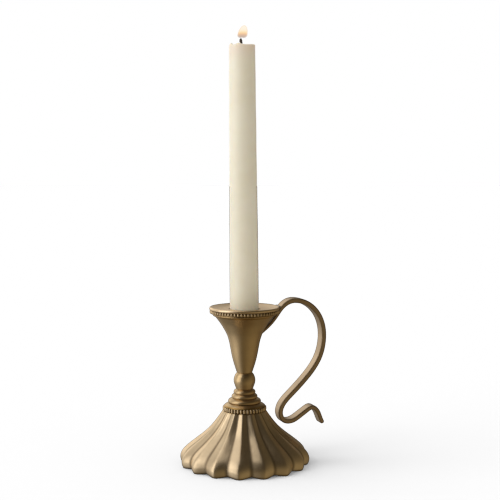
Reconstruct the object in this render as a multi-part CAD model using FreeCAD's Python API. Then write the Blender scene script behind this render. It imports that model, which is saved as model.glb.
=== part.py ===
import FreeCAD, Part
import math
import os

# Brass chamber candlestick with a lobed foot, a tulip cup, a strap handle and a seated taper candle.
# Millimetres, +Z up. The origin is on the stem axis at table level and the handle lies along +X.

os.makedirs("parts", exist_ok=True)

V = FreeCAD.Vector
AXIS = V(0, 0, 1)

# ---- driving dimensions ----

# lobed skirt: height and radius along a lobe's crest, and how deep the valleys are below it
LOBES = 16
SKIRT_TOP = 41.2
SKIRT_CREST = [
    (41.2, 16.7), (38.0, 18.9), (34.0, 21.8), (30.0, 25.0), (26.0, 28.9), (22.0, 33.7),
    (18.0, 38.9), (14.0, 43.9), (10.0, 47.9), (6.5, 49.7), (3.0, 49.8), (0.0, 48.4),
]
VALLEY_DEPTH_TOP = 1.0
VALLEY_DEPTH_FOOT = 3.3
DEPTH_GAIN = 1.25
# how gabled a lobe is: near 1 it has two flat flanks and a crisp crest, near 0 it is a plain wave
LOBE_CRISPNESS = 0.93
# the arch that the foot's edge makes under each valley
ARCH_RISE = 1.5
ARCH_REACH = 18.0
FOOT_SINK = 0.30
SKIRT_WALL = 2.0
WEB_THICKNESS = 3.0
WEB_R = 16.0
WEB_TAPER = 0.6
SKIRT_ROWS = 26
SKIRT_COLUMNS = 19

# turned stem: where each piece starts and how wide it is
COLLAR_TOP = 47.2
COLLAR_EDGE = 44.7
COLLAR_R = 16.0
COLLAR_SPIGOT_R = 14.4
COLLAR_BEAD_R = 16.7
LARGE_RING_TOP = 51.0
LARGE_RING_R = 12.5
MIDDLE_RING_TOP = 54.3
MIDDLE_RING_R = 9.8
SMALL_RING_TOP = 57.9
SMALL_RING_R = 8.25
KNOP_TOP = 70.6
KNOP_R = 8.15
KNOP_TOP_R = 5.7
KNOP_FOOT_R = 6.25
CUP_TOP = 115.0
CUP_TOP_R = 22.9
CUP_WALL = 1.9
CUP_HOLLOW_R = 14.6
CUP_HOLLOW_FLOOR = 106.5

# outlines of the turned pieces: radius and height, from the top down
COLLAR_DOME = [(12.4, COLLAR_TOP), (13.8, 46.5), (15.2, 45.6), (COLLAR_R, COLLAR_EDGE)]
KNOP_OUTLINE = [
    (KNOP_TOP_R, KNOP_TOP), (7.0, 69.0), (7.75, 67.2), (KNOP_R, 64.25), (7.4, 61.1),
    (KNOP_FOOT_R, SMALL_RING_TOP),
]
# a stem ring's edge: share of the way out from its shoulder, and share of its height below its top
RING_EDGE = [(0.0, 0.0), (0.45, 0.16), (0.92, 0.42), (1.0, 0.66), (0.82, 1.0)]
RING_SHOULDER = 0.3
CUP_OUTLINE = [
    (CUP_TOP_R, CUP_TOP), (20.6, 112.0), (18.4, 109.0), (15.8, 104.8), (13.75, 101.0), (12.3, 97.0),
    (11.15, 92.0), (10.05, 86.0), (8.8, 80.4), (7.5, 76.0), (KNOP_TOP_R, KNOP_TOP),
]
CUP_HOLLOW = [(CUP_TOP_R - CUP_WALL, CUP_TOP), (16.6, 109.0), (CUP_HOLLOW_R, CUP_HOLLOW_FLOOR)]

# drip pan, the mouldings under its rim and the socket in it
PAN_RIM_TOP = 121.5
PAN_FLOOR = 119.9
PAN_UNDERSIDE = 119.3
PAN_R = 26.9
PAN_HUB_R = 22.0
PAN_HUB_BORE_R = 20.2
LIP_TOP = 116.7
LIP_R = 24.4
PAN_BEAD_R = 26.6
SOCKET_R = 11.4
SLEEVE_R = 12.0
SOCKET_FLOOR = 100.5
PAN_RIM_CREST_R = 26.0
PAN_RIM_FOOT_R = 26.4
PAN_DISH_R = 16.0
PAN_HUB_FLOOR = 118.5
PAN_HUB_NECK_R = 19.0
PAN_HUB_SHOULDER = 117.3
LIP_OUTLINE = [(23.8, LIP_TOP), (LIP_R, 115.95), (23.4, CUP_TOP)]
PAN_RIM = [(PAN_RIM_FOOT_R, PAN_UNDERSIDE), (PAN_R, 120.1), (PAN_RIM_CREST_R, PAN_RIM_TOP)]
PAN_DISH = [(PAN_RIM_CREST_R, PAN_RIM_TOP), (24.6, 121.15), (21.0, 120.35), (PAN_DISH_R, PAN_FLOOR)]

# beads under the two rims
PAN_BEADS = 64
PAN_BEAD_HALF = 0.85
COLLAR_BEADS = 40
COLLAR_BEAD_HALF = 0.95
BEAD_STAND = 0.3
BEAD_GAP = 0.05

# tie rod and its fixings
ROD_R = 3.0
ROD_HOLE_R = 3.3
ROD_BOTTOM = 28.6
ROD_TOP = 88.0
NUT_ACROSS_FLATS = 10.0
NUT_HEIGHT = 5.0
NUT_CROWN = 1.15
NUT_CROWN_IN = 0.1
NUT_CROWN_OUT = 1.9
ROD_CHAMFER = 0.6
WASHER_CLEARANCE = 0.2
WASHER_R = 7.0
WASHER_THICKNESS = 1.2
LOCK_WASHER_R = 5.2
LOCK_WASHER_THICKNESS = 1.5
LOCK_SLOT_WIDTH = 0.7
LOCK_SLOT_LENGTH = 4.0
LOCK_SLOT_TILT = 25

# strap handle: centre line in the XZ plane from the cup round to the tip, and its section
STRAP_WIDTH = 9.2
STRAP_EDGE_RADIUS = 0.8
STRAP_PATH = [
    (12.4, 101.4), (18.2, 106.2), (22.7, 110.9), (25.7, 115.1), (28.9, 119.6), (32.6, 123.0),
    (37.0, 125.0), (42.0, 125.2), (50.8, 122.3), (59.0, 114.6), (63.2, 104.8), (63.9, 93.2),
    (60.4, 79.5), (50.4, 65.2), (36.6, 51.4), (30.0, 43.9), (28.2, 37.5), (30.8, 32.0),
    (36.6, 30.8), (44.0, 34.3), (50.2, 38.5), (54.5, 40.4), (58.4, 38.0), (61.0, 33.0), (62.9, 28.6),
]
STRAP_STEPS = 90
STRAP_TIP_ROUNDING = 0.45
# share of the length along the strap, and its thickness there
STRAP_THICKNESS = [(0.0, 1.8), (0.07, 2.0), (0.12, 2.7), (0.17, 3.5), (0.60, 3.5), (0.90, 3.2), (1.0, 2.9)]
SOLDER_R = 1.25
SOLDER_LENGTH = 8.0
SOLDER_X = 27.5
SOLDER_Z = 120.3

# taper candle and wick
CANDLE_FOOT_R = 11.0
CANDLE_TOP_R = 9.9
CANDLE_GAP = 0.3
CANDLE_TOP = 320.7
CANDLE_TOP_EDGE = 0.8
CANDLE_RIM = [(CANDLE_TOP_R - CANDLE_TOP_EDGE, CANDLE_TOP), (9.68, 320.4), (CANDLE_TOP_R, 319.5)]
CANDLE_FOOT_CHAMFER = 1.0
# height above the pan where the candle starts to taper
CANDLE_STRAIGHT = 20.0
WICK_R = 0.9
WICK_TOP = 325.6
WICK_LEAN = 1.4

# tolerance for telling flat edges from others, and the shortest edge that counts as one of the strap's sides
FLATNESS = 1e-3
STRAP_SIDE_LENGTH = 2.5


# ---- helpers ----

def write(name, shape):
    """Write one sub-part to its own STEP file."""
    shape = shape.removeSplitter()
    print(name, "valid", shape.isValid(), "solids", len(shape.Solids), "volume", round(shape.Volume, 1))
    shape.exportStep("parts/%s.step" % name)


def spline(points):
    """A smooth edge through the points."""
    curve = Part.BSplineCurve()
    curve.interpolate(points)
    return curve.toShape()


def line(a, b):
    return Part.makeLine(a, b)


def rz(radius, height):
    """A point of a turning profile, drawn in the XZ plane."""
    return V(radius, 0, height)


def outline(pairs):
    """A smooth turning outline through (radius, height) pairs."""
    return spline([rz(radius, height) for radius, height in pairs])


def arc(pairs):
    """A round turning outline through three (radius, height) pairs."""
    return Part.Arc(*[rz(radius, height) for radius, height in pairs]).toShape()


def turn(edges):
    """Revolve a closed outline about the stem axis."""
    face = Part.Face(Part.Wire(Part.__sortEdges__(edges)))
    return face.revolve(V(0, 0, 0), AXIS, 360)


def turned(outer, bore_r, bottom, top):
    """A turned piece with flat ends, a plain bore and the outer edges given from its top to its bottom."""
    top_r = outer[0].Vertexes[0].Point.x
    bottom_r = outer[-1].Vertexes[-1].Point.x
    return turn(outer + [
        line(rz(bottom_r, bottom), rz(bore_r, bottom)),
        line(rz(bore_r, bottom), rz(bore_r, top)),
        line(rz(bore_r, top), rz(top_r, top)),
    ])


def polyline(points):
    return [line(a, b) for a, b in zip(points, points[1:])]


def tube(outer_r, inner_r, bottom, top):
    height = top - bottom
    return Part.makeCylinder(outer_r, height, rz(0, bottom)).cut(
        Part.makeCylinder(inner_r, height, rz(0, bottom)))


def interpolate(table, x):
    """Straight-line value at x from (x, value) pairs in rising order."""
    for (x0, y0), (x1, y1) in zip(table, table[1:]):
        if x <= x1:
            return y0 + (y1 - y0) * (x - x0) / (x1 - x0)
    return table[-1][1]


def sample_spline(points, count):
    """Evenly parametrised points and tangents along a smooth curve through the points."""
    curve = Part.BSplineCurve()
    curve.interpolate(points)
    first, last = curve.FirstParameter, curve.LastParameter
    steps = [first + (last - first) * i / (count - 1) for i in range(count)]
    return [curve.value(u) for u in steps], [curve.tangent(u)[0] for u in steps]


# ---- lobed skirt ----

def lobe_weight(angle):
    """1 on a lobe's crest and 0 in a valley, with nearly flat flanks between them."""
    wave = math.cos(LOBES * angle)
    return 0.5 + math.asin(LOBE_CRISPNESS * wave) / (2 * math.asin(LOBE_CRISPNESS))


def skirt_grid(heights, radii, angles, inset):
    """Rows of points down the skirt, one row for each angle, moved in by the wall where inset is set."""
    grid = []
    for angle in angles:
        weight = lobe_weight(angle)
        profile = []
        for height, radius in zip(heights, radii):
            down = 1 - height / SKIRT_TOP
            depth = VALLEY_DEPTH_TOP + (VALLEY_DEPTH_FOOT - VALLEY_DEPTH_TOP) * min(1.0, down * DEPTH_GAIN)
            rise = ARCH_RISE * (1 - weight) * max(0.0, 1 - height / ARCH_REACH)
            profile.append((radius - depth * (1 - weight), height + rise))
        row = []
        for i, (radius, height) in enumerate(profile):
            before = profile[max(i - 1, 0)]
            after = profile[min(i + 1, len(profile) - 1)]
            along = (after[0] - before[0], after[1] - before[1])
            length = math.hypot(along[0], along[1])
            # the wall is set off square to the meridian, towards the inside
            radius += inset * along[1] / length
            height -= inset * along[0] / length
            row.append(V(radius * math.cos(angle), radius * math.sin(angle), height))
        grid.append(row)
    return grid


def patch(grid):
    surface = Part.BSplineSurface()
    surface.interpolate(grid)
    return surface.toShape()


def ruled(a, b):
    return Part.makeRuledSurface(a, b)


def edge_near(face, point):
    """The edge of a patch that passes closest to the point."""
    return min(face.Edges, key=lambda e: e.distToShape(Part.Vertex(point))[0])


def skirt_shell():
    half = math.pi / LOBES
    crest, _ = sample_spline([rz(radius, height) for height, radius in SKIRT_CREST], SKIRT_ROWS)
    heights = [p.z - FOOT_SINK * (1 - p.z / SKIRT_TOP) for p in crest]
    radii = [p.x for p in crest]
    angles = [half * (2 * i / (SKIRT_COLUMNS - 1) - 1) for i in range(SKIRT_COLUMNS)]
    middle = SKIRT_COLUMNS // 2
    outer_grid = skirt_grid(heights, radii, angles, 0.0)
    inner_grid = skirt_grid(heights, radii, angles, SKIRT_WALL)
    outer = patch(outer_grid)
    inner = patch(inner_grid)
    faces = []
    for end in (0, -1):
        faces.append(ruled(edge_near(outer, outer_grid[middle][end]),
                           edge_near(inner, inner_grid[middle][end])))
    sector = [outer, inner] + faces
    every = []
    for i in range(LOBES):
        for face in sector:
            copy = face.copy()
            copy.rotate(V(0, 0, 0), AXIS, 360.0 * i / LOBES)
            every.append(copy)
    shell = Part.Shell(every)
    shell.sewShape()
    solid = Part.Solid(Part.Shell(shell.Faces))
    if solid.Volume < 0:
        solid.reverse()
    return solid


def base_skirt():
    skirt = skirt_shell()
    reach = 1.4 * max(radius for _, radius in SKIRT_CREST)
    deep = SKIRT_TOP / 2
    for floor in (-deep, SKIRT_TOP):
        skirt = skirt.cut(Part.makeBox(2 * reach, 2 * reach, deep, V(-reach, -reach, floor)))
    web = Part.makeCone(WEB_R + WEB_TAPER, WEB_R - WEB_TAPER, WEB_THICKNESS, rz(0, SKIRT_TOP - WEB_THICKNESS))
    hole = Part.makeCylinder(ROD_HOLE_R, 3 * WEB_THICKNESS, rz(0, SKIRT_TOP - 2 * WEB_THICKNESS))
    return skirt.fuse(web).cut(hole)


# ---- turned stem pieces ----

def base_collar():
    spigot = polyline([rz(COLLAR_R, COLLAR_EDGE), rz(COLLAR_SPIGOT_R, COLLAR_EDGE),
                       rz(COLLAR_SPIGOT_R, SKIRT_TOP)])
    return turned([outline(COLLAR_DOME)] + spigot, ROD_HOLE_R, SKIRT_TOP, COLLAR_TOP)


def bead_ring(bottom, top, bore_r, bead_r, count, half_width):
    """A ring with a row of upright oval beads that stand proud of its core."""
    centre_r = bead_r - half_width
    ring = tube(centre_r - BEAD_STAND, bore_r, bottom, top)
    low = bottom + BEAD_GAP + half_width
    length = top - BEAD_GAP - half_width - low
    rod = Part.makeCylinder(half_width, length, V(centre_r, 0, low))
    ends = [Part.makeSphere(half_width, V(centre_r, 0, z)) for z in (low, low + length)]
    bead = rod.fuse(ends)
    beads = []
    for i in range(count):
        copy = bead.copy()
        copy.rotate(V(0, 0, 0), AXIS, 360.0 * i / count)
        beads.append(copy)
    return ring.fuse(beads)


def round_ring(bottom, top, radius, shoulder_r):
    """A ring whose edge swells from a small shoulder to its full radius and drops to its bed."""
    edge = outline([(shoulder_r + out * (radius - shoulder_r), top - down * (top - bottom))
                    for out, down in RING_EDGE])
    return turned([edge], ROD_HOLE_R, bottom, top)


def ball_knop():
    return turned([outline(KNOP_OUTLINE)], ROD_HOLE_R, SMALL_RING_TOP, KNOP_TOP)


def candle_cup():
    face_edges = [
        outline(CUP_OUTLINE),
        line(rz(CUP_TOP_R, CUP_TOP), rz(CUP_TOP_R - CUP_WALL, CUP_TOP)),
        outline(CUP_HOLLOW),
    ] + polyline([
        rz(CUP_HOLLOW_R, CUP_HOLLOW_FLOOR), rz(SLEEVE_R, CUP_HOLLOW_FLOOR), rz(SLEEVE_R, SOCKET_FLOOR),
        rz(0, SOCKET_FLOOR), rz(0, ROD_TOP), rz(ROD_R, ROD_TOP), rz(ROD_R, KNOP_TOP),
        rz(KNOP_TOP_R, KNOP_TOP),
    ])
    return turn(face_edges)


def cup_envelope():
    """The cup without its hollows."""
    return turn([outline(CUP_OUTLINE)] + polyline([
        rz(KNOP_TOP_R, KNOP_TOP), rz(0, KNOP_TOP), rz(0, CUP_TOP), rz(CUP_TOP_R, CUP_TOP)]))


def cup_lip_ring():
    return turned([arc(LIP_OUTLINE)], PAN_HUB_R, CUP_TOP, LIP_TOP)


def drip_pan():
    """A shallow dish with a rolled rim and a hub that stands in the cup's mouth."""
    hub = polyline([
        rz(PAN_DISH_R, PAN_FLOOR), rz(SLEEVE_R, PAN_FLOOR), rz(SLEEVE_R, PAN_HUB_FLOOR),
        rz(PAN_HUB_NECK_R, PAN_HUB_FLOOR), rz(PAN_HUB_BORE_R, PAN_HUB_SHOULDER),
        rz(PAN_HUB_BORE_R, CUP_TOP), rz(PAN_HUB_R, CUP_TOP), rz(PAN_HUB_R, PAN_UNDERSIDE),
        rz(PAN_RIM_FOOT_R, PAN_UNDERSIDE),
    ])
    return turn([arc(PAN_RIM), outline(PAN_DISH)] + hub)


# ---- strap handle ----

def bent_strap():
    """The strap's outline in the XZ plane, drawn either side of its centre line and given its width."""
    points, tangents = sample_spline([V(x, 0, z) for x, z in STRAP_PATH], STRAP_STEPS)
    sides = {1: [], -1: []}
    for i, (point, tangent) in enumerate(zip(points, tangents)):
        half = interpolate(STRAP_THICKNESS, i / (STRAP_STEPS - 1)) / 2
        normal = V(-tangent.z, 0, tangent.x)
        for side in sides:
            sides[side].append(point + normal * (side * half))
    left, right = sides[1], sides[-1]
    tip = points[-1] + tangents[-1] * (STRAP_TIP_ROUNDING * STRAP_THICKNESS[-1][1])
    outline = Part.Wire([
        spline(left), Part.Arc(left[-1], tip, right[-1]).toShape(), spline(right), line(right[0], left[0]),
    ])
    face = Part.Face(outline)
    face.translate(V(0, -STRAP_WIDTH / 2, 0))
    bar = face.extrude(V(0, STRAP_WIDTH, 0))
    long_edges = [e for e in bar.Edges
                  if abs(abs(e.BoundBox.YMin) - STRAP_WIDTH / 2) < FLATNESS
                  and e.BoundBox.YLength < FLATNESS and e.Length > STRAP_SIDE_LENGTH]
    return bar.makeFillet(STRAP_EDGE_RADIUS, long_edges)


def handle_strap(neighbours):
    """The bent strap, dressed to lie flush against the pieces that it is soldered to."""
    strap = bent_strap().cut(cup_envelope())
    for shape in neighbours:
        strap = strap.cut(shape)
    return max(strap.Solids, key=lambda s: s.Volume)


def solder_joint(strap, neighbours):
    """The solder that fills the corner between the pan's rim and the strap."""
    bead = Part.makeCylinder(SOLDER_R, SOLDER_LENGTH, V(SOLDER_X, -SOLDER_LENGTH / 2, SOLDER_Z), V(0, 1, 0))
    rest = bead.cut(strap)
    for shape in neighbours:
        rest = rest.cut(shape)
    return max(rest.Solids, key=lambda s: s.Volume)


# ---- fixings, candle and wick ----

def tie_rod():
    rod = Part.makeCylinder(ROD_R, ROD_TOP - ROD_BOTTOM, rz(0, ROD_BOTTOM))
    ends = [e for e in rod.Edges if e.BoundBox.ZLength < FLATNESS and e.BoundBox.ZMax < ROD_BOTTOM + 1]
    return rod.makeChamfer(ROD_CHAMFER, ends)


def hex_nut(bottom):
    corner_r = NUT_ACROSS_FLATS / math.sqrt(3)
    corners = [V(corner_r * math.cos(math.radians(60 * i)), corner_r * math.sin(math.radians(60 * i)), bottom)
               for i in range(7)]
    blank = Part.Face(Part.makePolygon(corners)).extrude(V(0, 0, NUT_HEIGHT))
    inner_r = NUT_ACROSS_FLATS / 2 - NUT_CROWN_IN
    outer_r = NUT_ACROSS_FLATS / 2 + NUT_CROWN_OUT
    crown = Part.makeCone(inner_r, outer_r, NUT_CROWN, rz(0, bottom))
    crown = crown.fuse(Part.makeCylinder(outer_r, NUT_HEIGHT - NUT_CROWN, rz(0, bottom + NUT_CROWN)))
    return blank.common(crown).cut(Part.makeCylinder(ROD_R, NUT_HEIGHT, rz(0, bottom)))


def lock_washer(bottom):
    """A spring washer: a ring split by one slanted slot."""
    ring = tube(LOCK_WASHER_R, ROD_R + WASHER_CLEARANCE, bottom, bottom + LOCK_WASHER_THICKNESS)
    slot = Part.makeBox(LOCK_SLOT_LENGTH, LOCK_SLOT_WIDTH, LOCK_SLOT_LENGTH,
                        V(ROD_R - 0.5, -LOCK_SLOT_WIDTH / 2, bottom - 1))
    slot.rotate(V(LOCK_SLOT_LENGTH, 0, bottom + 0.5), V(1, 0, 0), LOCK_SLOT_TILT)
    return ring.cut(slot)


def candle(bottom):
    return turn([outline(CANDLE_RIM)] + polyline([
        rz(*CANDLE_RIM[-1]), rz(CANDLE_FOOT_R, PAN_FLOOR + CANDLE_STRAIGHT),
        rz(CANDLE_FOOT_R, bottom + CANDLE_FOOT_CHAMFER), rz(CANDLE_FOOT_R - CANDLE_FOOT_CHAMFER, bottom),
        rz(WICK_R, bottom), rz(WICK_R, CANDLE_TOP),
        rz(CANDLE_TOP_R - CANDLE_TOP_EDGE, CANDLE_TOP),
    ]))


def wick(bottom):
    """The wick runs down the candle's core and leans a little where it stands clear of the wax."""
    set_in = Part.makeCylinder(WICK_R, CANDLE_TOP - bottom, rz(0, bottom))
    rise = WICK_TOP - CANDLE_TOP
    path = Part.Wire([spline([rz(0, CANDLE_TOP), rz(-0.15 * WICK_LEAN, CANDLE_TOP + 0.35 * rise),
                              rz(-WICK_LEAN, WICK_TOP)])])
    section = Part.Wire([Part.Circle(rz(0, CANDLE_TOP), AXIS, WICK_R).toShape()])
    free = path.makePipeShell([section], True, False)
    return set_in.fuse(free)


# ---- write every sub-part ----

candle_bottom = SOCKET_FLOOR + CANDLE_GAP
lock_top = SKIRT_TOP - WEB_THICKNESS - WASHER_THICKNESS
nut_bottom = lock_top - LOCK_WASHER_THICKNESS - NUT_HEIGHT
pan = drip_pan()
pan_beads = bead_ring(LIP_TOP, PAN_UNDERSIDE, PAN_HUB_R, PAN_BEAD_R, PAN_BEADS, PAN_BEAD_HALF)
lip = cup_lip_ring()
strap = handle_strap([lip, pan, pan_beads])

write("base_skirt", base_skirt())
write("base_collar", base_collar())
write("collar_bead_ring", bead_ring(SKIRT_TOP, COLLAR_EDGE, COLLAR_SPIGOT_R, COLLAR_BEAD_R,
                                    COLLAR_BEADS, COLLAR_BEAD_HALF))
write("stem_ring_large", round_ring(COLLAR_TOP, LARGE_RING_TOP, LARGE_RING_R, MIDDLE_RING_R - RING_SHOULDER))
write("stem_ring_middle", round_ring(LARGE_RING_TOP, MIDDLE_RING_TOP, MIDDLE_RING_R,
                                     SMALL_RING_R - RING_SHOULDER))
write("stem_ring_small", round_ring(MIDDLE_RING_TOP, SMALL_RING_TOP, SMALL_RING_R, KNOP_FOOT_R))
write("ball_knop", ball_knop())
write("candle_cup", candle_cup())
write("cup_lip_ring", lip)
write("pan_bead_ring", pan_beads)
write("drip_pan", pan)
write("socket_sleeve", tube(SLEEVE_R, SOCKET_R, SOCKET_FLOOR, PAN_FLOOR))
write("handle_strap", strap)
write("handle_solder_joint", solder_joint(strap, [pan, pan_beads]))
write("tie_rod", tie_rod())
write("rod_washer", tube(WASHER_R, ROD_R + WASHER_CLEARANCE, lock_top, lock_top + WASHER_THICKNESS))
write("rod_lock_washer", lock_washer(lock_top - LOCK_WASHER_THICKNESS))
write("rod_nut", hex_nut(nut_bottom))
write("candle", candle(candle_bottom))
write("wick", wick(candle_bottom))
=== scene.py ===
import math

import bpy
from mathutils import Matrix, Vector


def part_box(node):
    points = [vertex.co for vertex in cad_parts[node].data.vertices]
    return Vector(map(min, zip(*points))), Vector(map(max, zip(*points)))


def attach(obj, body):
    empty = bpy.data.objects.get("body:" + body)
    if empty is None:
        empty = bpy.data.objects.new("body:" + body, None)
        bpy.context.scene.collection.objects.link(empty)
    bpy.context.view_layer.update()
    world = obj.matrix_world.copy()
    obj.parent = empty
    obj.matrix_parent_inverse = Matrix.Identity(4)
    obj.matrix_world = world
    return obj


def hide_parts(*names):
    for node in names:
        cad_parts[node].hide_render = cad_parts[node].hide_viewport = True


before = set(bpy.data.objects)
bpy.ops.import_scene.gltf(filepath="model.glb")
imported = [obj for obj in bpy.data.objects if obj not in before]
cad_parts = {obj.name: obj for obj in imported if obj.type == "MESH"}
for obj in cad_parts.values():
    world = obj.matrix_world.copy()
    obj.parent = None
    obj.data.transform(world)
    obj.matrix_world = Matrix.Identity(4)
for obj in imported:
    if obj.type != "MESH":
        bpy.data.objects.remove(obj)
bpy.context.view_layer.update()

# Brass chamber candlestick with a lit taper candle. Metres, +Z up, the handle towards +X.

MM = 0.001
FULL_TURN = 2 * math.pi

# ---- where the camera stands ----

VIEW_AZIMUTH = math.radians(-18.0)
VIEW_PITCH = math.radians(-3.78)
VIEW_DISTANCE = 800 * MM
VIEW_HEIGHT = 218 * MM
VIEW_SIDE = 4.224 * MM
LENS_MM = 75.44
SENSOR_MM = 36.0


def camera_side(across, away, up):
    """A point given to the right of the camera, away from it and up, turned into the part's frame."""
    cosine = math.cos(VIEW_AZIMUTH)
    sine = math.sin(VIEW_AZIMUTH)
    return Vector((across * cosine - away * sine, across * sine + away * cosine, up))


# ---- what the brass materials repeat round the stem ----

LOBES = 16
PAN_BEADS = 64
COLLAR_BEADS = 40

# ---- candle ----

CANDLE_LEAN = -1.8 * MM
CANDLE_RINGS = 90
CANDLE_SIDES = 96
CANDLE_EDGE = 1.0 * MM
# the radius at the top, as a share of the foot's, and how far up the taper starts, as a share of the height
CANDLE_TAPER = 0.9
CANDLE_STRAIGHT = 0.09
# a faint ripple along the candle: its depth, and its waves over the height in radians
CANDLE_RIPPLE = 0.04 * MM
CANDLE_WAVES = 37.0

# the melted rim lies below the solid candle's top, with soft peaks:
# angle round the candle from the camera's right, height, spread
RIM_DROP = 1.0 * MM
RIM_PEAKS = [
    (math.radians(202), 1.8 * MM, math.radians(10)),
    (math.radians(254), 1.25 * MM, math.radians(12)),
    (math.radians(355), 0.9 * MM, math.radians(38)),
]
# over the rim and down into the shallow pool round the wick: inward, down, in millimetres
RIM_OUTLINE = [(0.10, 0.45), (0.45, 0.08), (1.0, 0.0), (1.7, 0.25), (2.8, 0.9), (4.8, 1.5), (7.4, 1.8)]
RIM_WIDTH = 2.0
POOL_PEAK_SHARE = 0.3
# how far down the candle the painted glow of the flame's light reaches
FLAME_GLOW_DEPTH = 16 * MM

# ---- wick: twisted strands, each a share of the wick's radius ----

WICK_RADIUS = 0.95 * MM
WICK_LEAN = -0.95 * MM
WICK_DROP = 0.7 * MM
WICK_BURIED = 6 * MM
WICK_STRANDS = 3
WICK_TWISTS = 2.6
WICK_STEPS = 44
STRAND_SIDES = 10
STRAND_OFF_AXIS = 0.42
STRAND_THICKNESS = 0.62

# ---- flame: an outer glow with a core inside it, both leaning to the camera's right ----

FLAME_GAP = 0.25 * MM
FLAME_HEIGHT = 9.5 * MM
FLAME_RADIUS = 3.8 * MM
FLAME_WIDEST = 0.26
FLAME_SHIFT = 0.95 * MM
FLAME_LEAN = 1.7 * MM
FLAME_NOTCH = 0.6 * MM
FLAME_RINGS = 30
FLAME_SIDES = 48
FLAME_END = 0.004
CORE_LIFT = 0.5 * MM
CORE_HEIGHT = FLAME_HEIGHT * 0.89
CORE_RADIUS = FLAME_RADIUS * 0.83
# height up the flame, colour
EDGE_COLOURS = [(0.0, (0.60, 0.50, 0.44)), (0.22, (0.92, 0.62, 0.40)), (1.0, (1.0, 0.80, 0.56))]
CORE_COLOURS = [(0.0, (0.50, 0.38, 0.31)), (0.16, (0.80, 0.46, 0.26)), (0.34, (1.0, 0.76, 0.38)),
                (0.50, (1.0, 0.95, 0.66)), (0.72, (1.0, 1.0, 0.92))]

# ---- metal: how each node is dressed, and its colours ----

TURNED_NODES = ["base_collar", "stem_ring_large", "stem_ring_middle", "stem_ring_small", "ball_knop",
                "candle_cup", "cup_lip_ring", "socket_sleeve"]
ROD_NODES = ["tie_rod", "rod_washer", "rod_lock_washer", "rod_nut"]

# the worn colour, paler: partly real wear and partly a painted highlight on edges and crests
BRASS_WORN_HIGHLIGHT = (0.74, 0.61, 0.44)
BRASS_BRIGHT = (0.54, 0.37, 0.175)
BRASS_BODY = (0.46, 0.295, 0.115)
BRASS_OLD = (0.35, 0.21, 0.068)
# the dark colour: partly grime and patina in recesses, partly painted shade in recesses, valleys and gaps
BRASS_GRIME_AND_SHADE = (0.045, 0.024, 0.007)
BRASS_RIM_TINT = (1.0, 0.93, 0.82, 1.0)
# how far the worn edge and its painted highlight reach from an edge
WEAR_HIGHLIGHT_REACH = 1.2 * MM
# each part's tone scales the same brass: painted shade darkens the stem and the strap, painted light
# brightens the pan, the foot's is neutral
STEM_SHADE_TONE = (0.84, 0.78, 0.66)
STRAP_SHADE_TONE = (0.66, 0.64, 0.66)
PAN_LIGHT_TONE = (1.08, 1.02, 0.95)
FOOT_TONE = (1.0, 1.0, 1.0)

# ---- floor, lights and the room ----

FLOOR_HALF = 40.0
LIT_POINT = Vector((0, 0, 0.13))
# name, place (right of the camera, away, up), width, height, power
LIGHTS = [
    ("key_left", (-0.83, -0.32, 0.42), 0.95, 1.3, 4.4),
    ("key_core", (-0.80, -0.30, 0.60), 0.36, 0.50, 0.5),
    ("top_soft", (-0.40, 0.08, 1.15), 0.9, 0.9, 2.5),
]
MATT_FILL = (0.63, 0.575, 0.485, 1)
PALE = (1.0, 1.0, 1.0)
WARM = (1.0, 0.83, 0.50)
ROOM_DIM = 0.035
# what the brass reflects: the direction of each bright part of the room, its strength, narrowness and colour
ROOM_LIGHTS = [
    (camera_side(-0.55, 0.80, 0.28), 1.35, 6.0, PALE),
    (camera_side(-0.95, -0.12, -0.28), 0.92, 5.0, PALE),
    (camera_side(-0.30, 0.85, -0.40), 0.14, 3.0, PALE),
    (camera_side(0.80, 0.10, -0.25), 0.24, 2.0, WARM),
    (camera_side(0.35, -0.75, -0.55), 0.20, 2.0, WARM),
]

# a colour mix node's sockets, which share their names with its other kinds
MIX_FACTOR, MIX_A, MIX_B, MIX_RESULT = 0, 6, 7, 2


# ---- material helpers ----

def new_material(name):
    material = bpy.data.materials.new(name)
    material.use_nodes = True
    tree = material.node_tree
    return material, tree, tree.nodes["Principled BSDF"]


def add(tree, kind, **settings):
    node = tree.nodes.new(kind)
    for key, value in settings.items():
        setattr(node, key, value)
    return node


def feed(tree, socket, value):
    """Set a socket to a number or a colour, or link another node's output to it."""
    if isinstance(value, (int, float)):
        socket.default_value = value
    elif isinstance(value, tuple):
        socket.default_value = (*value, 1.0)
    else:
        tree.links.new(value, socket)


def math_node(tree, operation, *values):
    node = add(tree, "ShaderNodeMath", operation=operation)
    for socket, value in zip(node.inputs, values):
        feed(tree, socket, value)
    return node.outputs[0]


def position(tree, scale=(1, 1, 1)):
    """The point in the part's frame, stretched by the scale."""
    coordinates = add(tree, "ShaderNodeTexCoord")
    mapping = add(tree, "ShaderNodeMapping")
    mapping.inputs["Scale"].default_value = scale
    tree.links.new(coordinates.outputs["Object"], mapping.inputs["Vector"])
    return mapping.outputs["Vector"]


def split_position(tree):
    split = add(tree, "ShaderNodeSeparateXYZ")
    tree.links.new(position(tree), split.inputs[0])
    return split.outputs


def noise(tree, scale, detail, stretch=(1, 1, 1)):
    node = add(tree, "ShaderNodeTexNoise")
    node.inputs["Scale"].default_value = scale
    node.inputs["Detail"].default_value = detail
    node.inputs["Roughness"].default_value = 0.55
    tree.links.new(position(tree, stretch), node.inputs["Vector"])
    return node.outputs["Fac"]


def ramp(tree, value, stops):
    """A colour for a value, through stops of (value, colour)."""
    node = add(tree, "ShaderNodeValToRGB")
    elements = node.color_ramp.elements
    while len(elements) < len(stops):
        elements.new(0.5)
    for element, (place, colour) in zip(elements, stops):
        element.position = place
        element.color = (*colour, 1.0)
    tree.links.new(value, node.inputs["Fac"])
    return node.outputs["Color"]


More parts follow.
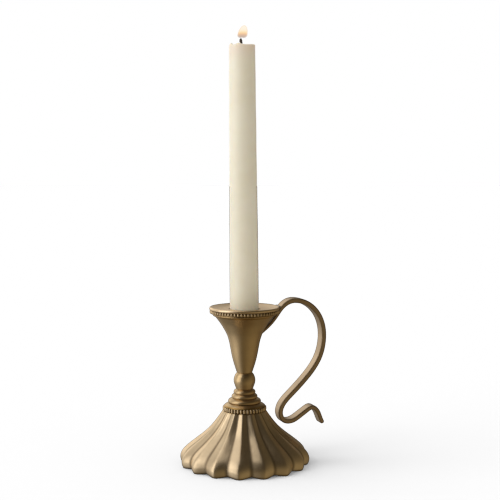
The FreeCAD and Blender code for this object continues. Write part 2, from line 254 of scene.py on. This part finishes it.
def mix(tree, factor, a, b, blend_type="MIX"):
    node = add(tree, "ShaderNodeMix", data_type="RGBA", blend_type=blend_type)
    feed(tree, node.inputs[MIX_FACTOR], factor)
    feed(tree, node.inputs[MIX_A], a)
    feed(tree, node.inputs[MIX_B], b)
    return node.outputs[MIX_RESULT]


def span(tree, value, low, high, new_low=0.0, new_high=1.0):
    """Carry a value smoothly from one range to another and hold it at the ends."""
    node = add(tree, "ShaderNodeMapRange", interpolation_type="SMOOTHSTEP")
    tree.links.new(value, node.inputs["Value"])
    for name, number in (("From Min", low), ("From Max", high), ("To Min", new_low), ("To Max", new_high)):
        node.inputs[name].default_value = number
    return node.outputs["Result"]


def crevice(tree, reach):
    """1 in a crevice narrower than the reach and 0 on open metal."""
    node = add(tree, "ShaderNodeAmbientOcclusion", samples=8)
    node.inputs["Distance"].default_value = reach
    return math_node(tree, "SUBTRACT", 1.0, node.outputs["AO"])


def edge_wear_and_highlight(tree, reach):
    """1 on a sharp outer edge, where handling polishes the metal and a painted highlight is laid, and 0 on
    open faces.
    """
    node = add(tree, "ShaderNodeAmbientOcclusion", samples=6, inside=True, only_local=True)
    node.inputs["Distance"].default_value = reach
    return span(tree, node.outputs["AO"], 0.62, 0.92)


def around(tree, count):
    """1 on each of a number of crests evenly set round the stem axis, and 0 between them."""
    place = split_position(tree)
    angle = math_node(tree, "ARCTAN2", place["Y"], place["X"])
    wave = math_node(tree, "COSINE", math_node(tree, "MULTIPLY", angle, count / 2))
    return math_node(tree, "ABSOLUTE", wave)


def bump(tree, shader, layers):
    """Stack bump layers of (height, strength, depth in metres) into the shader's normal."""
    normal = None
    for height, strength, depth in layers:
        node = add(tree, "ShaderNodeBump")
        node.inputs["Strength"].default_value = strength
        node.inputs["Distance"].default_value = depth
        tree.links.new(height, node.inputs["Height"])
        if normal is not None:
            tree.links.new(normal, node.inputs["Normal"])
        normal = node.outputs["Normal"]
    tree.links.new(normal, shader.inputs["Normal"])


# ---- materials ----

def toned(colour, shading_tone):
    return tuple(a * b for a, b in zip(colour, shading_tone))


def aged_brass(name, shading_tone, grain, grain_scale, recess=2.2 * MM, recess_grime_and_shade=0.8,
               crests=0, valley_shade=0.0, wear_and_highlight=0.6):
    """Aged satin brass: cloudy patina, brushed along the grain, its colours scaled by the part's shading
    tone, painted light on the pan and painted shade on the stem and strap.

    Its recesses are darker, partly grime and patina and partly painted shade, and its sharp edges paler,
    partly wear and partly a painted highlight. With crests, that many crests round the stem are also paler,
    as wear and painted highlight, and the valleys between them darker, as painted shade.
    """
    material, tree, shader = new_material(name)
    clouds = noise(tree, 75.0, 4.0)
    fine = noise(tree, 380.0, 3.0)
    brushed = noise(tree, grain_scale, 3.0, grain)
    blend = math_node(tree, "ADD", math_node(tree, "MULTIPLY", clouds, 0.8),
                      math_node(tree, "MULTIPLY", fine, 0.2))
    # the shading tone makes lit and shaded copies of this brass: painted light on the pan, painted shade on
    # the stem and strap
    patina = ramp(tree, blend, [(0.34, toned(BRASS_OLD, shading_tone)), (0.52, toned(BRASS_BODY, shading_tone)),
                                (0.72, toned(BRASS_BRIGHT, shading_tone))])
    streaked = mix(tree, 1.0, patina, span(tree, brushed, 0.35, 0.65, 0.93, 1.05), "MULTIPLY")
    # sharp edges paler: partly wear, partly a painted highlight
    worn_and_highlight = math_node(tree, "MULTIPLY", edge_wear_and_highlight(tree, WEAR_HIGHLIGHT_REACH), wear_and_highlight)
    # recesses darker: partly grime and patina, partly painted shade
    grime_and_shade = math_node(tree, "MULTIPLY", span(tree, crevice(tree, recess), 0.22, 0.8), recess_grime_and_shade)
    if crests:
        crest = around(tree, crests)
        # crests paler: partly wear, partly a painted highlight
        worn_and_highlight = math_node(tree, "MAXIMUM", worn_and_highlight, span(tree, crest, 0.45, 1.0, 0.0, 0.5))
        # valleys between the crests darker: painted shade
        grime_and_shade = math_node(tree, "MAXIMUM", grime_and_shade, span(tree, crest, 0.0, 0.42, valley_shade, 0.0))
    colour = mix(tree, worn_and_highlight, streaked, toned(BRASS_WORN_HIGHLIGHT, shading_tone))
    tree.links.new(mix(tree, grime_and_shade, colour, BRASS_GRIME_AND_SHADE), shader.inputs["Base Color"])
    rough = math_node(tree, "ADD", span(tree, blend, 0.35, 0.7, 0.36, 0.29),
                      math_node(tree, "MULTIPLY", grime_and_shade, 0.25))
    tree.links.new(rough, shader.inputs["Roughness"])
    shader.inputs["Metallic"].default_value = 1.0
    shader.inputs["Specular Tint"].default_value = BRASS_RIM_TINT
    shader.inputs["Coat Weight"].default_value = 0.05
    shader.inputs["Coat Roughness"].default_value = 0.45
    bump(tree, shader, [(clouds, 0.10, 0.20 * MM), (fine, 0.06, 0.04 * MM), (brushed, 0.10, 0.02 * MM)])
    return material


def grey_solder():
    """Dull grey solder, lumpy and a little brown in its hollows."""
    material, tree, shader = new_material("grey_solder")
    lumps = noise(tree, 900.0, 4.0)
    tree.links.new(ramp(tree, lumps, [(0.3, (0.20, 0.17, 0.14)), (0.7, (0.44, 0.41, 0.37))]),
                   shader.inputs["Base Color"])
    tree.links.new(span(tree, lumps, 0.3, 0.7, 0.55, 0.4), shader.inputs["Roughness"])
    shader.inputs["Metallic"].default_value = 1.0
    bump(tree, shader, [(lumps, 0.5, 0.2 * MM)])
    return material


def zinc_steel():
    """Zinc-plated steel with a faint spangle and brown stains."""
    material, tree, shader = new_material("zinc_steel")
    spangle = noise(tree, 600.0, 3.0)
    stain = noise(tree, 120.0, 4.0)
    base = ramp(tree, spangle, [(0.35, (0.42, 0.42, 0.41)), (0.65, (0.62, 0.62, 0.60))])
    tree.links.new(mix(tree, span(tree, stain, 0.5, 0.75, 0.0, 0.5), base, (0.25, 0.21, 0.16)),
                   shader.inputs["Base Color"])
    tree.links.new(span(tree, spangle, 0.35, 0.65, 0.42, 0.30), shader.inputs["Roughness"])
    shader.inputs["Metallic"].default_value = 1.0
    bump(tree, shader, [(spangle, 0.2, 0.05 * MM)])
    return material


def ivory_wax(top):
    """Ivory wax, a little pinker towards the top: a painted glow of the flame's light."""
    material, tree, shader = new_material("ivory_wax")
    mottled = noise(tree, 60.0, 3.0)
    grain = noise(tree, 700.0, 2.0)
    base = ramp(tree, mottled, [(0.35, (0.775, 0.745, 0.635)), (0.65, (0.80, 0.78, 0.68))])
    # painted glow of the flame's light, pinker towards the top
    flame_glow = span(tree, split_position(tree)["Z"], top - FLAME_GLOW_DEPTH, top, 0.0, 0.55)
    tree.links.new(mix(tree, flame_glow, base, (0.82, 0.70, 0.64)), shader.inputs["Base Color"])
    shader.inputs["Roughness"].default_value = 0.42
    shader.inputs["Subsurface Weight"].default_value = 0.35
    shader.inputs["Subsurface Radius"].default_value = (1.0, 0.75, 0.45)
    shader.inputs["Subsurface Scale"].default_value = 4 * MM
    bump(tree, shader, [(mottled, 0.10, 0.4 * MM), (grain, 0.08, 0.04 * MM)])
    return material


def charred_wick():
    """Charred cotton, near black, its fibres running along the wick."""
    material, tree, shader = new_material("charred_wick")
    fibres = noise(tree, 1500.0, 3.0, (1, 1, 0.3))
    tree.links.new(ramp(tree, fibres, [(0.35, (0.010, 0.006, 0.004)), (0.7, (0.055, 0.030, 0.018))]),
                   shader.inputs["Base Color"])
    shader.inputs["Roughness"].default_value = 0.9
    bump(tree, shader, [(fibres, 0.6, 0.15 * MM)])
    return material


def glow(name, foot, stops, strength, cover):
    """A flame's light, coloured by height above its foot. Cover is how much it hides of what is behind it."""
    material, tree, shader = new_material(name)
    rise = span(tree, split_position(tree)["Z"], foot, foot + FLAME_HEIGHT)
    lit = add(tree, "ShaderNodeEmission")
    lit.inputs["Strength"].default_value = strength
    tree.links.new(ramp(tree, rise, stops), lit.inputs["Color"])
    clear = add(tree, "ShaderNodeBsdfTransparent")
    blend = add(tree, "ShaderNodeMixShader")
    blend.inputs[0].default_value = cover
    tree.links.new(clear.outputs[0], blend.inputs[1])
    tree.links.new(lit.outputs[0], blend.inputs[2])
    tree.links.new(blend.outputs[0], tree.nodes["Material Output"].inputs["Surface"])
    tree.nodes.remove(shader)
    return material


# ---- geometry helpers ----

def mesh_object(name, points, faces, material):
    mesh = bpy.data.meshes.new(name)
    mesh.from_pydata([tuple(point) for point in points], [], faces)
    mesh.validate()
    for polygon in mesh.polygons:
        polygon.use_smooth = True
    mesh.materials.append(material)
    thing = bpy.data.objects.new(name, mesh)
    bpy.context.scene.collection.objects.link(thing)
    return thing


def skin(rings):
    """Points and faces of a closed tube through rings of points, with a fan at each end."""
    sides = len(rings[0])
    points = [point for ring in rings for point in ring]
    faces = []
    for row in range(len(rings) - 1):
        low = row * sides
        for i in range(sides):
            j = (i + 1) % sides
            faces.append((low + i, low + j, low + sides + j, low + sides + i))
    for ring, start in ((rings[0], 0), (rings[-1], (len(rings) - 1) * sides)):
        centre = len(points)
        points.append(sum(ring, Vector()) / sides)
        for i in range(sides):
            j = (i + 1) % sides
            fan = (start + j, start + i, centre) if start == 0 else (start + i, start + j, centre)
            faces.append(fan)
    return points, faces


def circle(centre, radius, sides):
    ring = []
    for i in range(sides):
        angle = FULL_TURN * i / sides
        ring.append(centre + Vector((radius * math.cos(angle), radius * math.sin(angle), 0)))
    return ring


# ---- candle, wick and flame ----

def candle_axis(height, foot, top):
    """The candle's centre at a height: it stands true at its foot and leans steadily above it."""
    share = max(0.0, (height - foot) / (top - foot))
    return camera_side(CANDLE_LEAN * share, 0.0, height)


def rim_peak(angle):
    """How far the melted rim stands above its lowest level at an angle about the candle."""
    height = 0.0
    for place, peak, spread in RIM_PEAKS:
        off = math.remainder(angle - VIEW_AZIMUTH - place, FULL_TURN)
        height += peak * math.exp(-0.5 * (off / spread) ** 2)
    return height


def make_candle(material):
    """The taper with its melted rim. Gives back the middle of the rim."""
    low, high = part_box("candle")
    foot_radius = (high.x - low.x) / 2
    top_radius = foot_radius * CANDLE_TAPER
    foot = low.z
    top = high.z - RIM_DROP

    rings = [circle(candle_axis(foot, foot, top), foot_radius - CANDLE_EDGE, CANDLE_SIDES)]
    for i in range(CANDLE_RINGS):
        share = i / (CANDLE_RINGS - 1)
        z = foot + CANDLE_EDGE + share * (top - foot - 2 * CANDLE_EDGE)
        tapered = max(0.0, share - CANDLE_STRAIGHT) / (1 - CANDLE_STRAIGHT)
        radius = foot_radius + (top_radius - foot_radius) * tapered
        ripple = CANDLE_RIPPLE * math.sin(CANDLE_WAVES * share)
        rings.append(circle(candle_axis(z, foot, top), radius + ripple, CANDLE_SIDES))
    for inset, drop in RIM_OUTLINE:
        z = top - drop * MM
        ring = circle(candle_axis(z, foot, top), top_radius - inset * MM, CANDLE_SIDES)
        peak_share = 1.0 if inset < RIM_WIDTH else POOL_PEAK_SHARE
        for i, point in enumerate(ring):
            point.z += rim_peak(FULL_TURN * i / CANDLE_SIDES) * peak_share
        rings.append(ring)

    thing = mesh_object("taper_candle", *skin(rings), material)
    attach(thing, "candle")
    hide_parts("candle")
    return candle_axis(top, foot, top)


def wick_swell(clear):
    """The wick's thickness along its clear length: swollen past the middle and drawn in at the tip."""
    return 0.72 + 0.55 * math.sin(math.pi * clear ** 1.7) - 0.25 * clear ** 6


def make_wick(base, material):
    """Charred strands twisted together, leaning left where they stand clear. Gives back the tip."""
    tip_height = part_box("wick")[1].z - WICK_DROP
    start = base.z - WICK_BURIED
    points = []
    faces = []
    for strand in range(WICK_STRANDS):
        rings = []
        for i in range(WICK_STEPS):
            share = i / (WICK_STEPS - 1)
            z = start + share * (tip_height - start)
            clear = max(0.0, (z - base.z) / (tip_height - base.z))
            lean = camera_side(WICK_LEAN * math.sin(0.62 * math.pi * clear) ** 1.4, 0.0, 0.0)
            turn = FULL_TURN * (strand / WICK_STRANDS + WICK_TWISTS * share)
            reach = WICK_RADIUS * wick_swell(clear)
            off_axis = STRAND_OFF_AXIS * reach
            centre = Vector((base.x + lean.x + off_axis * math.cos(turn),
                             base.y + lean.y + off_axis * math.sin(turn), z))
            rings.append(circle(centre, STRAND_THICKNESS * reach, STRAND_SIDES))
        strand_points, strand_faces = skin(rings)
        offset = len(points)
        points += strand_points
        faces += [tuple(offset + index for index in face) for face in strand_faces]
    thing = mesh_object("charred_wick", points, faces, material)
    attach(thing, "candle")
    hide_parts("wick")
    tip = camera_side(WICK_LEAN, 0.0, 0.0)
    return Vector((base.x + tip.x, base.y + tip.y, tip_height))


def flame_width(share):
    """A flame's half width at a share of its height: a tucked-in foot, a full body and a round top."""
    tuck = max(0.0, 1 - share / FLAME_WIDEST)
    return (1 - tuck ** 2) ** 0.3 * (1 - share ** 2.6) ** 0.5


def flame_shape(name, foot, height, radius, material):
    """A full teardrop that leans to the right as it rises, notched at its foot where it meets the wick."""
    rings = []
    for i in range(FLAME_RINGS):
        share = FLAME_END + (1 - 2 * FLAME_END) * i / (FLAME_RINGS - 1)
        lean = camera_side(FLAME_SHIFT + FLAME_LEAN * share ** 1.2, 0.0, 0.0)
        centre = Vector((foot.x + lean.x, foot.y + lean.y, foot.z + height * share))
        ring = circle(centre, radius * flame_width(share), FLAME_SIDES)
        notch = FLAME_NOTCH * max(0.0, 1 - share / FLAME_WIDEST)
        for k, point in enumerate(ring):
            across = math.cos(FULL_TURN * k / FLAME_SIDES - VIEW_AZIMUTH)
            point.z += notch * (1 - abs(across))
        rings.append(ring)
    thing = mesh_object(name, *skin(rings), material)
    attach(thing, "candle")


def make_flame(tip):
    foot = tip + Vector((0, 0, FLAME_GAP))
    outer = glow("flame_edge", foot.z, EDGE_COLOURS, 1.0, 0.50)
    inner = glow("flame_core", foot.z, CORE_COLOURS, 1.05, 0.95)
    flame_shape("flame_edge", foot, FLAME_HEIGHT, FLAME_RADIUS, outer)
    flame_shape("flame_core", foot + Vector((0, 0, CORE_LIFT)), CORE_HEIGHT, CORE_RADIUS, inner)


# ---- carried-over CAD nodes ----

def dress(nodes, material):
    for name in nodes:
        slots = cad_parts[name].data.materials
        slots.clear()
        slots.append(material)


def dress_metal():
    dress(TURNED_NODES, aged_brass("turned_brass", STEM_SHADE_TONE, (1, 1, 9), 140.0))
    dress(["base_skirt"], aged_brass("cast_brass", FOOT_TONE, (1, 1, 0.35), 160.0, recess=3.0 * MM,
                                     recess_grime_and_shade=0.7, crests=LOBES, valley_shade=0.6))
    dress(["drip_pan"], aged_brass("pan_brass", PAN_LIGHT_TONE, (1, 1, 9), 140.0, wear_and_highlight=1.0))
    dress(["handle_strap"], aged_brass("strap_brass", STRAP_SHADE_TONE, (0.5, 1, 0.5), 260.0))
    # the gaps between the beads are darkened with painted shade
    for node, name, count in (("pan_bead_ring", "pan_bead_brass", PAN_BEADS),
                              ("collar_bead_ring", "collar_bead_brass", COLLAR_BEADS)):
        dress([node], aged_brass(name, FOOT_TONE, (1, 1, 1), 300.0, recess=1.2 * MM,
                                 recess_grime_and_shade=0.9, crests=count, valley_shade=0.95))
    dress(["handle_solder_joint"], grey_solder())
    dress(ROD_NODES, zinc_steel())


# ---- floor, lights and camera ----

def make_floor():
    material, tree, shader = new_material("pale_floor")
    shade = noise(tree, 3.0, 2.0)
    tree.links.new(ramp(tree, shade, [(0.3, (0.86, 0.86, 0.86)), (0.7, (0.90, 0.90, 0.90))]),
                   shader.inputs["Base Color"])
    shader.inputs["Roughness"].default_value = 0.9
    corners = [Vector((x * FLOOR_HALF, y * FLOOR_HALF, 0)) for x, y in ((-1, -1), (1, -1), (1, 1), (-1, 1))]
    floor = mesh_object("floor", corners, [(0, 1, 2, 3)], material)
    floor.is_shadow_catcher = True
    floor.visible_glossy = False


def make_lights():
    """One broad window of light at the left with a brighter core, and a soft light overhead to the left."""
    for name, place, width, height, power in LIGHTS:
        data = bpy.data.lights.new(name, "AREA")
        data.shape = "RECTANGLE"
        data.size = width
        data.size_y = height
        data.energy = power
        lamp = bpy.data.objects.new(name, data)
        lamp.location = camera_side(*place)
        lamp.rotation_euler = (LIT_POINT - camera_side(*place)).to_track_quat("-Z", "Y").to_euler()
        bpy.context.scene.collection.objects.link(lamp)


def room_light(tree):
    """The light of the room in each direction."""
    coordinates = add(tree, "ShaderNodeTexCoord")
    total = tuple(ROOM_DIM * channel for channel in WARM)
    for direction, strength, narrowness, colour in ROOM_LIGHTS:
        facing = add(tree, "ShaderNodeVectorMath", operation="DOT_PRODUCT")
        tree.links.new(coordinates.outputs["Generated"], facing.inputs[0])
        facing.inputs[1].default_value = direction.normalized()
        lobe = math_node(tree, "POWER", math_node(tree, "MAXIMUM", facing.outputs["Value"], 0.0), narrowness)
        lit = add(tree, "ShaderNodeVectorMath", operation="SCALE")
        lit.inputs[0].default_value = tuple(strength * channel for channel in colour)
        tree.links.new(lobe, lit.inputs["Scale"])
        joined = add(tree, "ShaderNodeVectorMath", operation="ADD")
        tree.links.new(lit.outputs[0], joined.inputs[0])
        if isinstance(total, tuple):
            joined.inputs[1].default_value = total
        else:
            tree.links.new(total, joined.inputs[1])
        total = joined.outputs[0]
    return total


def make_world():
    """White to the camera, an even fill for matt surfaces, and for glossy ones a room with a pale left."""
    world = bpy.data.worlds.new("studio")
    world.use_nodes = True
    tree = world.node_tree
    path = add(tree, "ShaderNodeLightPath")
    shown = tree.nodes["Background"]
    shown.inputs["Color"].default_value = (1, 1, 1, 1)
    fill = add(tree, "ShaderNodeBackground")
    fill.inputs["Color"].default_value = MATT_FILL
    room = add(tree, "ShaderNodeBackground")
    tree.links.new(room_light(tree), room.inputs["Color"])
    light = fill
    for ray, other in (("Is Glossy Ray", room), ("Is Camera Ray", shown)):
        choice = add(tree, "ShaderNodeMixShader")
        tree.links.new(path.outputs[ray], choice.inputs[0])
        tree.links.new(light.outputs[0], choice.inputs[1])
        tree.links.new(other.outputs[0], choice.inputs[2])
        light = choice
    tree.links.new(light.outputs[0], tree.nodes["World Output"].inputs["Surface"])
    bpy.context.scene.world = world


def make_camera():
    data = bpy.data.cameras.new("camera")
    data.lens = LENS_MM
    data.sensor_width = SENSOR_MM
    camera = bpy.data.objects.new("camera", data)
    camera.location = camera_side(VIEW_SIDE, -VIEW_DISTANCE, VIEW_HEIGHT)
    camera.rotation_euler = (math.pi / 2 + VIEW_PITCH, 0, VIEW_AZIMUTH)
    bpy.context.scene.collection.objects.link(camera)
    bpy.context.scene.camera = camera


# ---- put it together ----

def main():
    dress_metal()
    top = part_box("candle")[1].z
    base = make_candle(ivory_wax(top))
    make_flame(make_wick(base, charred_wick()))
    make_floor()
    make_lights()
    make_world()
    make_camera()


main()
bpy.context.scene.view_settings.view_transform = "Standard"
bpy.context.view_layer.update()
